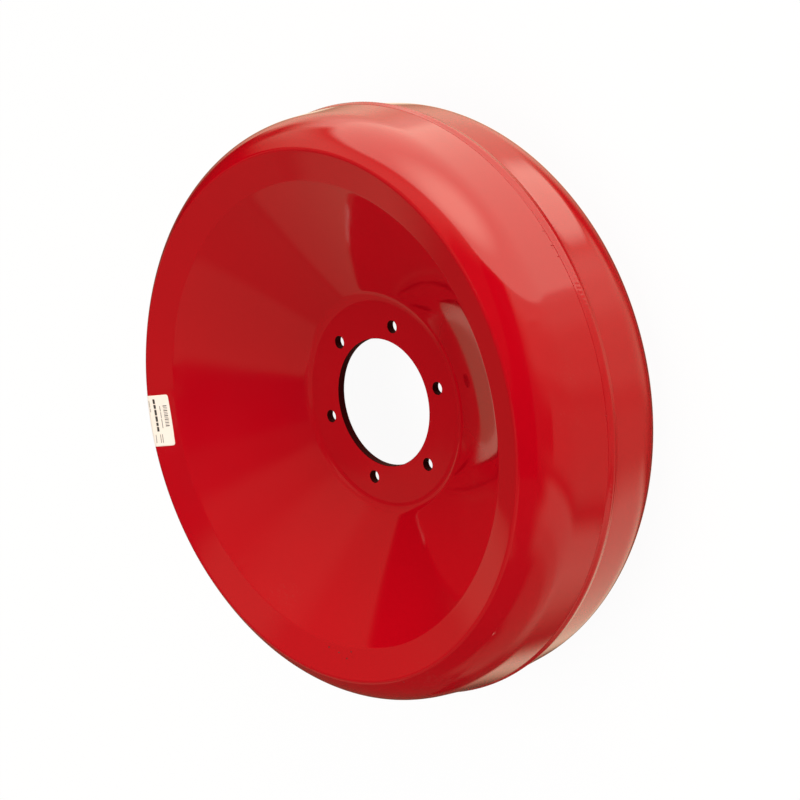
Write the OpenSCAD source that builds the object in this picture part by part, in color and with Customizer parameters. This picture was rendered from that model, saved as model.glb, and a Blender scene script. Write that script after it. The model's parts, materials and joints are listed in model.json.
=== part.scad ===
// All-steel press wheel: two pressed dished shells, set back to back at the
// hub face and butt-welded round the middle of the tread.
// The wheel's axis is Z. The origin is the middle of the hub bore, half way
// between the two hub faces, and +X points at one of the bolt holes.
// The wheel lies flat, on the crest of its rear rim.

/* [Wheel] */
// Diameter of the tread at the weld, without the weld's own crown
wheel_d = 736; // [560:1:900]
// Width over the corners of the two rims, before they are rounded
rim_w = 231; // [180:1:300]
// Thickness of the pressed sheet
sheet_t = 5; // [2:0.5:6]

/* [Hub] */
// Diameter of the centre bore
bore_d = 160; // [80:1:180]
// Diameter of the hub face at its corner with the dish, before it is rounded
hub_face_d = 268; // [260:1:330]
// Pitch circle of the bolt holes
bolt_pcd = 200; // [192:1:220]
// Diameter of each bolt hole
bolt_hole_d = 15.5; // [8:0.5:18]
// Number of bolt holes
bolt_count = 6; // [3:1:10]

/* [Rim] */
// Radial distance from the tread to the rim's crest
crest_inset = 42; // [35:0.5:60]
// Radial width of the ring between the crest and the dish
ring_w = 39.5; // [30:0.5:60]
// How far the ring rises from the dish's edge to the crest
ring_rise = 13; // [4:0.5:20]
// Axial distance from the crest's corner to the tread's corner
shoulder_drop = 28; // [20:0.5:40]
// Taper of the tread on each side of the weld, in degrees
tread_taper = 5.5; // [0:0.5:10]

/* [Bends] */
// Radius where the hub face turns into the dish
hub_bend_r = 26; // [10:1:40]
// Radius of the crease between the dish and the ring
crease_bend_r = 10; // [6:0.5:30]
// Radius of the rim's crest
crest_bend_r = 6; // [5:0.5:24]
// Radius of the shoulder between the crest and the tread
shoulder_bend_r = 80; // [40:1:80]

/* [Tread weld] */
// Width of the weld's cap
weld_w = 16; // [6:0.5:24]
// Height of the weld's crown over the tread
weld_h = 1.6; // [0.6:0.1:3]
// Height of the step at the edge of the weld's cap
weld_toe_h = 0.2; // [0.1:0.05:0.5]
// Gap between the two shells that the weld fills
weld_gap = 2; // [1:0.5:4]

/* [Label] */
// Length of the label along the rim
label_l = 67; // [30:1:120]
// Thickness of the label
label_t = 0.2; // [0.1:0.05:0.5]
// Distance from the crease to the label's inner edge
label_inset = 8; // [4:0.5:20]
// Axial distance from the crest's corner to the label's outer edge
label_drop = 14.5; // [10:0.5:20]
// Place of the label round the wheel, in degrees from +X
label_angle = 170.7; // [0:0.1:359.9]

/* [Hidden] */
$fn = 96;

paint_red = "#a80a18";
label_white = "#efe6df";

// steps in each rounded bend of the section, and across the weld's cap
bend_steps = 14;
weld_steps = 16;
// how far a cutter runs past the faces that it cuts
cut_over = 1;
// share of the band between crest and shoulder that their two bends may fill
band_fill = 0.99;

bore_r = bore_d / 2;
wheel_r = wheel_d / 2;

// corners of the front shell's outer face, each as [radius, height]
bore_corner = [bore_r, sheet_t];
hub_corner = [hub_face_d / 2, sheet_t];
crest_corner = [wheel_r - crest_inset, rim_w / 2];
crease_corner = crest_corner - [ring_w, ring_rise];
tread_half_w = rim_w / 2 - shoulder_drop;
shoulder_corner = [tread_radius(tread_half_w), tread_half_w];
weld_corner = [tread_radius(weld_gap / 2), weld_gap / 2];
label_end_h = rim_w / 2 - label_drop;

// the tread's radius at a height above the middle plane
function tread_radius(h) = wheel_r - abs(h) * tan(tread_taper);

// direction of a line, in degrees, and the unit normal on the left of it
function heading(from, to) = atan2(to[1] - from[1], to[0] - from[0]);
function left_normal(a) = [-sin(a), cos(a)];

// length of each straight side that a bend of radius r at corner p takes up
function bend_side(a, p, b, r) = r * tan(abs(heading(p, b) - heading(a, p)) / 2);

// a station is [point, outward normal] on the shell's outer face
function line_end(from, to) = [[from, left_normal(heading(from, to))]];

// stations round a bend of radius r at corner p, between corners a and b
function bend(a, p, b, r) =
    let (
        a0 = heading(a, p),
        turn = heading(p, b) - a0,
        side = sign(turn),
        start = p - bend_side(a, p, b, r) * [cos(a0), sin(a0)],
        centre = start + side * r * left_normal(a0)
    )
    [for (i = [0:bend_steps])
        let (n = left_normal(a0 + turn * i / bend_steps))
        [centre - side * r * n, n]];

// the crest's and shoulder's bends shrink together where their band is short
band_l = norm(shoulder_corner - crest_corner);
band_used = bend_side(crease_corner, crest_corner, shoulder_corner, crest_bend_r)
    + bend_side(crest_corner, shoulder_corner, weld_corner, shoulder_bend_r);
band_fit = min(1, band_fill * band_l / band_used);

hub_bend = bend(bore_corner, hub_corner, crease_corner, hub_bend_r);
crease_bend = bend(hub_corner, crease_corner, crest_corner, crease_bend_r);
crest_bend = bend(crease_corner, crest_corner, shoulder_corner, band_fit * crest_bend_r);
shoulder_bend = bend(crest_corner, shoulder_corner, weld_corner, band_fit * shoulder_bend_r);

// the outer face's points, moved out by a distance along their normals
function moved(stations, out) = [for (s = stations) s[0] + out * s[1]];

// the shell's section: outer face from bore to weld, then back along the inner
module shell_section() {
    stations = concat(
        line_end(bore_corner, hub_corner),
        hub_bend, crease_bend, crest_bend, shoulder_bend
    );
    inner = moved(stations, -sheet_t);
    inner_edge = weld_corner - [sheet_t / cos(tread_taper), 0];
    polygon(concat(
        moved(stations, 0),
        [weld_corner, inner_edge],
        [for (i = [len(inner) - 1:-1:0]) inner[i]]
    ));
}

module bolt_holes() {
    for (i = [0:bolt_count - 1])
        rotate([0, 0, i * 360 / bolt_count])
            translate([bolt_pcd / 2, 0, -cut_over])
                cylinder(h = sheet_t + 2 * cut_over, d = bolt_hole_d);
}

// one pressed half: hub face, dish, ring, crest, shoulder and half the tread
module shell() {
    difference() {
        rotate_extrude() shell_section();
        bolt_holes();
    }
}

module front_shell() {
    color(paint_red) shell();
}

module rear_shell() {
    color(paint_red) mirror([0, 0, 1]) shell();
}

// height of the weld's cap over the tread, a crown with hollow flanks
function weld_cap(h) =
    weld_toe_h + (weld_h - weld_toe_h) * (1 + cos(360 * h / weld_w)) / 2;

module tread_weld() {
    half = weld_w / 2;
    cap = [for (i = [0:weld_steps])
        let (h = -half + i * weld_w / weld_steps)
        [tread_radius(h) + weld_cap(h), h]];
    root_r = weld_corner[0] - sheet_t / cos(tread_taper);
    root = [
        [tread_radius(half), half],
        weld_corner,
        [root_r, weld_gap / 2],
        [root_r, -weld_gap / 2],
        [weld_corner[0], -weld_gap / 2],
        [tread_radius(half), -half]
    ];
    color(paint_red) rotate_extrude() polygon(concat(cap, root));
}

// a sticker laid over the ring and the crest, down onto the shoulder
module label() {
    path = concat(
        [crease_bend[bend_steps]],
        crest_bend,
        shoulder_bend
    );
    back = moved(path, 0);
    front = moved(path, label_t);
    inner_r = crease_corner[0] + label_inset;
    color(label_white)
        intersection() {
            rotate_extrude()
                polygon(concat(front, [for (i = [len(back) - 1:-1:0]) back[i]]));
            rotate([0, 0, label_angle])
                translate([inner_r, -label_l / 2, label_end_h])
                    cube([wheel_r - inner_r, label_l, rim_w / 2 - label_end_h]);
        }
}

front_shell();
rear_shell();
tread_weld();
label();
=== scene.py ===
"""Looks of the all-steel press wheel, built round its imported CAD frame.

Two pressed shells of sheet steel stand back to back and are joined by a weld
round the tread. The whole wheel is sprayed with gloss red enamel after welding,
so the paint runs over the weld, its spatter, and the edges of every hole.
"""

import json
import logging
import math
from collections.abc import Iterable, Sequence
from dataclasses import dataclass, field
from enum import Enum
from functools import cached_property

import bmesh
import bpy
import numpy as np
from mathutils import Matrix, Vector


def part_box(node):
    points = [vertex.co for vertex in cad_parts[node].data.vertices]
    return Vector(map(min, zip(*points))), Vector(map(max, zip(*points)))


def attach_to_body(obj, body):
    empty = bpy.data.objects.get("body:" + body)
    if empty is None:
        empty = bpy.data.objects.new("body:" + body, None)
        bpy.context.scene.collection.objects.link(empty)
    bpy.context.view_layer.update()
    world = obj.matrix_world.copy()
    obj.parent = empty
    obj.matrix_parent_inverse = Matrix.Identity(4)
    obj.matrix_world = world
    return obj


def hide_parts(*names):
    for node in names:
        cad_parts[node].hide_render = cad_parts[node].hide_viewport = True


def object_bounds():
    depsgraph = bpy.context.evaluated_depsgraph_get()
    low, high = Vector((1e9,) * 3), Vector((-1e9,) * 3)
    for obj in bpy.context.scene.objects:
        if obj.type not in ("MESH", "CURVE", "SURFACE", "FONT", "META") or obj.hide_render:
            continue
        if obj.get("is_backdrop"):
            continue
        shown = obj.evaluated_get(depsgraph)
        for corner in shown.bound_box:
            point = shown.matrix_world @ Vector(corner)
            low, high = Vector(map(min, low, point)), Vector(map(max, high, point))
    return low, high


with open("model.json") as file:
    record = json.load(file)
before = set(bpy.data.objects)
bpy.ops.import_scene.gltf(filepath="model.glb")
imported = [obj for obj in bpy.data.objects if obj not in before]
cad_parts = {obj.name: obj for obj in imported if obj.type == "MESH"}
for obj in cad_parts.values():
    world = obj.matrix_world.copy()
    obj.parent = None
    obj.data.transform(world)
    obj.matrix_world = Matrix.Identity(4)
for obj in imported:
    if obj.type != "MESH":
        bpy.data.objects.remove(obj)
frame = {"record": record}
CAD_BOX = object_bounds()

logging.basicConfig(level=logging.INFO, format="%(name)s: %(message)s")
log = logging.getLogger("press_wheel")

MM = 0.001
BODY = "root"
RIM_CROWN_LOSS = 0.74 * MM  # the rounded crest stands this far under its corner
WELD_CROWN = 1.6 * MM

Point = tuple[float, float]
Corner = tuple[float, float, float]
Station = tuple[Point, Point]
Object, Material = bpy.types.Object, bpy.types.Material
Tree, Socket = bpy.types.NodeTree, bpy.types.NodeSocket

# ---------------------------------------------------------------- node helper

MATH = "ShaderNodeMath"
VECTOR_MATH = "ShaderNodeVectorMath"
MAP_RANGE = "ShaderNodeMapRange"
NOISE = "ShaderNodeTexNoise"
MIX = "ShaderNodeMix"
MIX_A, MIX_B = 6, 7  # the colour sockets of a Mix node
COLOURS = {"output": 2, "data_type": "RGBA"}
SMOOTH = {"interpolation_type": "SMOOTHSTEP"}
WHITE = (1.0, 1.0, 1.0, 1.0)


def linear(hex_colour: str) -> tuple[float, float, float, float]:
    """Turn an sRGB hex colour into the linear colour that Blender's sockets take.

    Args:
        hex_colour: Colour as "#rrggbb".

    Returns:
        Linear red, green, blue and alpha.
    """
    parts = [int(hex_colour[i:i + 2], 16) / 255 for i in (1, 3, 5)]
    r, g, b = (c / 12.92 if c <= 0.04045 else ((c + 0.055) / 1.055) ** 2.4 for c in parts)
    return (r, g, b, 1.0)


def tint(hex_colour: str) -> tuple[float, float, float, float]:
    """Turn a light's hex colour into a tint that keeps the light's level in green.

    Args:
        hex_colour: Colour as "#rrggbb".

    Returns:
        Linear red, green, blue and alpha, with a green of 1.
    """
    r, g, b, alpha = linear(hex_colour)
    return (r / g, 1.0, b / g, alpha)


def add_node(
    tree: Tree, kind: str, inputs: dict[int | str, object] | None = None,
    output: int | str = 0, **settings: object,
) -> Socket | bpy.types.Node:
    """Add one node, set it, and link or set its inputs.

    Args:
        tree: Tree that gets the node.
        kind: The node's type name.
        inputs: Socket index or name to a socket to link from, or to a value.
        output: Output socket to return.
        **settings: Attributes to set on the node.

    Returns:
        The chosen output socket, or the node where it has none.
    """
    node = tree.nodes.new(kind)
    for name, value in settings.items():
        setattr(node, name, value)
    for key, value in (inputs or {}).items():
        if isinstance(value, Socket):
            tree.links.new(value, node.inputs[key])
        else:
            node.inputs[key].default_value = value
    return node.outputs[output] if len(node.outputs) else node


def new_material(name: str) -> tuple[Material, Tree]:
    """Make a material with no nodes.

    Args:
        name: The material's name.

    Returns:
        The material and its empty tree.
    """
    material = bpy.data.materials.new(name)
    material.use_nodes = True
    material.node_tree.nodes.clear()
    return material, material.node_tree


# ------------------------------------------------------------------- finishes


@dataclass(frozen=True)
class SprayedEnamel:
    """Gloss alkyd enamel, sprayed thick over pressed steel.

    The eye gets a deep even red under a clear hard gloss, with mirror-like
    reflections that a faint orange peel and the sheet's own waves bend a little.
    """

    name: str = "sprayed_red_enamel"
    colour: str = "#ad0213"
    thin_colour: str = "#a50212"
    thin_size: float = 90 * MM
    dust_colour: str = "#7d6a60"
    dust_share: float = 0.06
    dust_range: Point = (0.36, 0.46)
    speck_size: float = 3.2 * MM
    patch_size: float = 120 * MM
    patch_range: Point = (0.35, 0.75)
    roughness: float = 0.035
    dull_roughness: float = 0.075
    chip_and_shade_roughness: float = 0.5
    ior: float = 1.5
    gloss: float = 0.5
    # painted shade: the hole walls get almost no gloss, so they keep the dark of the shade inside the holes
    hole_shade_gloss: float = 0.02
    peel_size: float = 5.0 * MM
    peel_height: float = 0.0035 * MM
    wave_size: float = 60.0 * MM
    wave_height: float = 0.05 * MM
    # painted shade: the walls of the bore and bolt holes get this dark colour, little gloss and a high
    # roughness, standing in for the shade inside the holes
    hole_shade_colour: str = "#360506"
    cut_depth: float = 0.3 * MM
    bore_r: float = 0.0
    hole_r: float = 0.0
    holes: tuple[Corner, ...] = ()
    chips: tuple[Corner, ...] = ()
    chip_size: float = 2.0 * MM
    chip_depth: float = 0.12 * MM
    chip_edge: float = 0.3 * MM
    chip_ragged: Point = (2.4, -0.75)
    ragged_size: float = 1.6 * MM
    primer_colour: str = "#231c1b"

    def make(self) -> Material:
        """Build the node material.

        Returns:
            The enamel, with chips down to dark primer where they are given.
        """
        material, tree = new_material(self.name)
        place = add_node(tree, "ShaderNodeTexCoord", output="Object")
        depth, patches = (
            add_node(tree, NOISE, {"Vector": place, "Scale": 1 / size, "Detail": detail})
            for size, detail in ((self.thin_size, 3.0), (self.patch_size, 5.0))
        )
        specks = add_node(tree, NOISE, {
            "Vector": place, "Scale": 1 / self.speck_size, "Detail": 4.0, "Roughness": 0.7,
        })
        dust = add_node(tree, MAP_RANGE, {
            "Value": add_node(tree, MATH, {0: specks, 1: patches}, operation="MULTIPLY"),
            "From Min": self.dust_range[0], "From Max": self.dust_range[1], "To Max": self.dust_share,
        }, **SMOOTH)
        # cut marks the hole walls that get the painted shade; chipped marks the real chips down to primer
        cut, chipped = self._hole_shade_mask(tree, place), self._chip_mask(tree, place)
        colour = linear(self.thin_colour)
        for share, layer in (
            (depth, self.colour), (dust, self.dust_colour), (cut, self.hole_shade_colour),
            (chipped, self.primer_colour),
        ):
            colour = add_node(tree, MIX, {0: share, MIX_A: colour, MIX_B: linear(layer)}, **COLOURS)
        rough = add_node(tree, MAP_RANGE, {
            "Value": patches, "From Min": self.patch_range[0], "From Max": self.patch_range[1],
            "To Min": self.roughness, "To Max": self.dull_roughness,
        })
        # the real chips and the hole walls with their painted shade both get the high roughness
        chipped_and_shaded = add_node(tree, MATH, {0: chipped, 1: cut}, operation="MAXIMUM")
        rough = add_node(tree, MATH, {0: chipped_and_shaded, 1: self.chip_and_shade_roughness, 2: rough}, operation="MULTIPLY_ADD")
        gloss = add_node(tree, MAP_RANGE, {"Value": cut, "To Min": self.gloss, "To Max": self.hole_shade_gloss})
        shader = add_node(tree, "ShaderNodeBsdfPrincipled", {
            "Base Color": colour, "Roughness": rough, "IOR": self.ior, "Specular IOR Level": gloss,
            "Normal": self._bumps(tree, place, chipped),
        })
        add_node(tree, "ShaderNodeOutputMaterial", {"Surface": shader})
        return material

    def _hole_shade_mask(self, tree: Tree, place: Socket) -> Socket:
        """Find the cut walls of the bore and the bolt holes, which get painted shade.

        Args:
            tree: The material's tree.
            place: Object coordinates.

        Returns:
            A mask that is 1 on the cut walls.
        """
        x, y, _ = add_node(tree, "ShaderNodeSeparateXYZ", {0: place}).node.outputs
        flat = add_node(tree, "ShaderNodeCombineXYZ", {0: x, 1: y})
        outside: Socket | float = 1.0
        for centre, radius in (((0.0, 0.0, 0.0), self.bore_r), *((h, self.hole_r) for h in self.holes)):
            reach = add_node(tree, VECTOR_MATH, {0: flat, 1: centre}, "Value", operation="DISTANCE")
            past = add_node(tree, MATH, {0: reach, 1: radius}, operation="SUBTRACT")
            outside = add_node(tree, MATH, {0: outside, 1: past}, operation="MINIMUM")
        return add_node(tree, MAP_RANGE, {
            "Value": outside, "From Min": 1.5 * self.cut_depth, "From Max": self.cut_depth,
        })

    def _chip_mask(self, tree: Tree, place: Socket) -> Socket:
        """Find the chips, which have a ragged edge.

        Args:
            tree: The material's tree.
            place: Object coordinates.

        Returns:
            A mask that is 1 inside each chip.
        """
        nearest: Socket | float = 1.0
        for chip in self.chips:
            reach = add_node(tree, VECTOR_MATH, {0: place, 1: chip}, "Value", operation="DISTANCE")
            nearest = add_node(tree, MATH, {0: nearest, 1: reach}, operation="MINIMUM")
        ragged = add_node(tree, NOISE, {"Vector": place, "Scale": 1 / self.ragged_size, "Detail": 3.0})
        spread, offset = (share * self.chip_size for share in self.chip_ragged)
        edge = add_node(tree, MATH, {0: ragged, 1: spread, 2: offset}, operation="MULTIPLY_ADD")
        inside = add_node(tree, MATH, {0: edge, 1: nearest}, operation="SUBTRACT")
        return add_node(tree, MAP_RANGE, {"Value": inside, "From Max": self.chip_edge})

    def _bumps(self, tree: Tree, place: Socket, chipped: Socket) -> Socket:
        """Lay orange peel over the sheet's slow waves, and let the chips in.

        Args:
            tree: The material's tree.
            place: Object coordinates.
            chipped: The chips' mask.

        Returns:
            The bumped normal.
        """
        waves, peel = (
            add_node(tree, NOISE, {"Vector": place, "Scale": 1 / size, "Detail": detail})
            for size, detail in ((self.wave_size, 1.0), (self.peel_size, 1.5))
        )
        height: Socket | float = 0.0
        parts = ((waves, self.wave_height), (peel, self.peel_height), (chipped, -self.chip_depth))
        for shape, size in parts:
            height = add_node(tree, MATH, {0: shape, 1: size, 2: height}, operation="MULTIPLY_ADD")
        return add_node(tree, "ShaderNodeBump", {"Height": height, "Strength": 1.0, "Distance": 1.0})


@dataclass(frozen=True)
class CoatedLabelPaper:
    """Coated label stock, calendered: warm white, satin, with a barely seen fibre."""

    name: str = "coated_label_paper"
    colour: str = "#f1e9e2"
    shade: str = "#e9dfd6"
    cloud_size: float = 25 * MM
    roughness: float = 0.42
    ior: float = 1.45
    fibre_size: float = 0.9 * MM
    fibre_height: float = 0.006 * MM

    def make(self) -> Material:
        """Build the node material.

        Returns:
            The material.
        """
        material, tree = new_material(self.name)
        place = add_node(tree, "ShaderNodeTexCoord", output="Object")
        cloud, fibre = (
            add_node(tree, NOISE, {"Vector": place, "Scale": 1 / size, "Detail": detail})
            for size, detail in ((self.cloud_size, 4.0), (self.fibre_size, 3.0))
        )
        colour = add_node(tree, MIX, {
            0: cloud, MIX_A: linear(self.colour), MIX_B: linear(self.shade),
        }, **COLOURS)
        height = add_node(tree, MATH, {0: fibre, 1: self.fibre_height}, operation="MULTIPLY")
        bump = add_node(tree, "ShaderNodeBump", {"Height": height, "Strength": 1.0, "Distance": 1.0})
        shader = add_node(tree, "ShaderNodeBsdfPrincipled", {
            "Base Color": colour, "Roughness": self.roughness, "IOR": self.ior, "Normal": bump,
        })
        add_node(tree, "ShaderNodeOutputMaterial", {"Surface": shader})
        return material


@dataclass(frozen=True)
class ThermalPrint:
    """Thermal transfer print: flat near-black wax, a little worn away in specks."""

    name: str
    colour: str
    worn_colour: str = "#8d8680"
    worn_range: Point = (0.55, 0.8)
    roughness: float = 0.5
    speck_size: float = 0.7 * MM

    def make(self) -> Material:
        """Build the node material.

        Returns:
            The material.
        """
        material, tree = new_material(self.name)
        place = add_node(tree, "ShaderNodeTexCoord", output="Object")
        specks = add_node(tree, NOISE, {"Vector": place, "Scale": 1 / self.speck_size, "Detail": 2.0})
        worn = add_node(tree, MAP_RANGE, {
            "Value": specks, "From Min": self.worn_range[0], "From Max": self.worn_range[1],
        })
        colour = add_node(tree, MIX, {
            0: worn, MIX_A: linear(self.colour), MIX_B: linear(self.worn_colour),
        }, **COLOURS)
        shader = add_node(tree, "ShaderNodeBsdfPrincipled", {
            "Base Color": colour, "Roughness": self.roughness,
        })
        add_node(tree, "ShaderNodeOutputMaterial", {"Surface": shader})
        return material


# --------------------------------------------------------------- mesh helpers


@dataclass
class Skin:
    """A growing list of points and faces that becomes one closed mesh."""

    points: list[np.ndarray] = field(default_factory=list)
    faces: list[np.ndarray] = field(default_factory=list)
    count: int = 0

    def grid(self, rows: np.ndarray, wrap: bool) -> None:
        """Add a sheet of quads.

        Args:
            rows: Points as an array of rows by columns by 3.
            wrap: Whether the last column joins the first.
        """
        n, m = rows.shape[:2]
        index = self.count + np.arange(n * m).reshape(n, m)
        if wrap:
            index = np.concatenate([index, index[:, :1]], axis=1)
        quads = np.stack([index[:-1, :-1], index[:-1, 1:], index[1:, 1:], index[1:, :-1]], axis=-1)
        self.points.append(rows.reshape(-1, 3))
        self.faces.append(quads.reshape(-1, 4))
        self.count += n * m

    def finish(self, name: str, weld_gap: float = 0.002 * MM) -> Object:
        """Make the mesh, merge its shared edges and turn its faces outwards.

        Args:
            name: The piece's name.
            weld_gap: Points nearer than this become one.

        Returns:
            The new object, at the origin, smooth-shaded.
        """
        mesh = bpy.data.meshes.new(name)
        mesh.from_pydata(np.concatenate(self.points).tolist(), [], np.concatenate(self.faces).tolist())
        work = bmesh.new()
        work.from_mesh(mesh)
        bmesh.ops.remove_doubles(work, verts=work.verts, dist=weld_gap)
        bmesh.ops.dissolve_degenerate(work, edges=work.edges, dist=weld_gap / 4)
        bmesh.ops.recalc_face_normals(work, faces=work.faces)
        open_edges = sum(not edge.is_manifold for edge in work.edges)
        work.to_mesh(mesh)
        work.free()
        mesh.shade_smooth()
        piece = bpy.data.objects.new(name, mesh)
        bpy.context.scene.collection.objects.link(piece)
        log.info("%s: %d faces, %d open edges", name, len(mesh.polygons), open_edges)
        return piece


def turned(section: Sequence[Point], azimuths: np.ndarray) -> np.ndarray:
    """Turn a section about Z.

    Args:
        section: Points as (radius, height).
        azimuths: Angles of the copies, in radians.

    Returns:
        Array of section points by azimuths by 3.
    """
    r, z = np.array(section, float).T
    heights = np.repeat(z[:, None], len(azimuths), axis=1)
    return np.stack([np.outer(r, np.cos(azimuths)), np.outer(r, np.sin(azimuths)), heights], axis=-1)


def along(section: Sequence[Point], step: float) -> list[Point]:
    """Add points to a section so that no span is longer than a step.

    Args:
        section: Points as (radius, height).
        step: Longest span.

    Returns:
        The section with its added points.
    """
    out = [tuple(section[0])]
    for (r0, z0), (r1, z1) in zip(section[:-1], section[1:]):
        parts = max(1, math.ceil(math.hypot(r1 - r0, z1 - z0) / step))
        out += [(r0 + (r1 - r0) * i / parts, z0 + (z1 - z0) * i / parts) for i in range(1, parts + 1)]
    return out


def lip(corner: Point, towards_in: Point, towards_out: Point, radius: float, steps: int) -> list[Point]:
    """Quarter round at a square corner.

    Args:
        corner: The sharp corner.
        towards_in: Unit direction from the corner back along the first side.
        towards_out: Unit direction from the corner on along the second side.
        radius: Radius of the round.
        steps: Number of spans in it.

    Returns:
        Points from the first side to the second.
    """
    out = []
    for i in range(steps + 1):
        a = math.pi / 2 * i / steps
        p, q = 1 - math.sin(a), 1 - math.cos(a)
        out.append(tuple(corner[k] + radius * (p * towards_in[k] + q * towards_out[k]) for k in (0, 1)))
    return out


def path_lengths(points: np.ndarray) -> np.ndarray:
    """Length along a path at each of its points."""
    return np.concatenate([[0], np.cumsum(np.linalg.norm(np.diff(points, axis=0), axis=1))])


# ---------------------------------------------------------------- the section


@dataclass(frozen=True)
class SheetSection:
    """Section of one pressed shell, as corners joined by rounded bends.

    Everything is a radius and a height above the wheel's middle plane.
    """

    wheel_r: float
    rim_half_w: float
    sheet: float
    bore_r: float
    hub_corner_r: float = 134 * MM
    crest_inset: float = 42 * MM
    ring_w: float = 39.5 * MM
    ring_rise: float = 13 * MM
    shoulder_drop: float = 28 * MM
    taper: float = math.radians(5.5)
    hub_bend_r: float = 26 * MM
    crease_bend_r: float = 10 * MM
    crest_bend_r: float = 6 * MM
    shoulder_bend_r: float = 80 * MM
    weld_gap: float = 2 * MM
    degrees_a_step: float = 3.0
    fewest_steps: int = 4

    def tread_r(self, height: float) -> float:
        """Radius of the tread at a height above the middle plane."""
        return self.wheel_r - abs(height) * math.tan(self.taper)

    @cached_property
    def crest(self) -> Point:
        """Corner of the rim's crest."""
        return (self.wheel_r - self.crest_inset, self.rim_half_w)

    @cached_property
    def crease(self) -> Point:
        """Corner of the crease between dish and ring."""
        return (self.crest[0] - self.ring_w, self.crest[1] - self.ring_rise)

    @cached_property
    def shoulder(self) -> Point:
        """Corner between the rim's band and the tread."""
        height = self.rim_half_w - self.shoulder_drop
        return (self.tread_r(height), height)

    @cached_property
    def weld_edge(self) -> Point:
        """Edge of the tread at the weld's gap."""
        return (self.tread_r(self.weld_gap / 2), self.weld_gap / 2)

    def bend(self, a: Point, p: Point, b: Point, radius: float) -> list[Station]:
        """Round off one corner of the section.

        Args:
            a: Corner before it.
            p: The corner.
            b: Corner after it.
            radius: Radius of the outer face's bend.

        Returns:
            Stations round the bend, each a point and its outward normal.
        """
        start_angle = math.atan2(p[1] - a[1], p[0] - a[0])
        turn = math.atan2(b[1] - p[1], b[0] - p[0]) - start_angle
        reach = math.copysign(radius, turn)
        back = radius * math.tan(abs(turn) / 2)
        centre = (
            p[0] - back * math.cos(start_angle) - reach * math.sin(start_angle),
            p[1] - back * math.sin(start_angle) + reach * math.cos(start_angle),
        )
        steps = max(self.fewest_steps, math.ceil(math.degrees(abs(turn)) / self.degrees_a_step))
        angles = (start_angle + turn * i / steps for i in range(steps + 1))
        normals = [(-math.sin(angle), math.cos(angle)) for angle in angles]
        return [((centre[0] - reach * n[0], centre[1] - reach * n[1]), n) for n in normals]

    @cached_property
    def bends(self) -> dict[str, list[Station]]:
        """Round off the four corners.

        Returns:
            The bends by name, from the hub out to the tread.
        """
        bore, hub = (self.bore_r, self.sheet), (self.hub_corner_r, self.sheet)
        return {
            "hub": self.bend(bore, hub, self.crease, self.hub_bend_r),
            "crease": self.bend(hub, self.crease, self.crest, self.crease_bend_r),
            "crest": self.bend(self.crease, self.crest, self.shoulder, self.crest_bend_r),
            "shoulder": self.bend(self.crest, self.shoulder, self.weld_edge, self.shoulder_bend_r),
        }

    def face(self, inward: float) -> list[Point]:
        """Run along the shell from the hub bend to the weld.

        Args:
            inward: How far the line lies inside the outer face.

        Returns:
            Points as (radius, height).
        """
        stations = (station for bend in self.bends.values() for station in bend)
        moved = [(p[0] - inward * n[0], p[1] - inward * n[1]) for p, n in stations]
        return moved + [(self.weld_edge[0] - inward / math.cos(self.taper), self.weld_edge[1])]


# --------------------------------------------------------------- pressed shell


class Side(Enum):
    """Which of the two shells, by the way that it faces along Z."""

    FRONT = 1
    REAR = -1


@dataclass(frozen=True)
class Dent:
    """A small knock or pimple in the sheet, in millimetres.

    A negative height is a dent. Azimuth is in degrees from +X.
    """

    azimuth: float
    radius: float
    height: float
    length: float
    width: float


@dataclass(frozen=True)
class BoltCircle:
    """The ring of bolt holes in the hub face."""

    pitch_r: float
    hole_r: float
    count: int

    @property
    def centres(self) -> tuple[Corner, ...]:
        """The holes' centres, with no height."""
        turns = (2 * math.pi * i / self.count for i in range(self.count))
        return tuple((self.pitch_r * math.cos(a), self.pitch_r * math.sin(a), 0.0) for a in turns)


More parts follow.
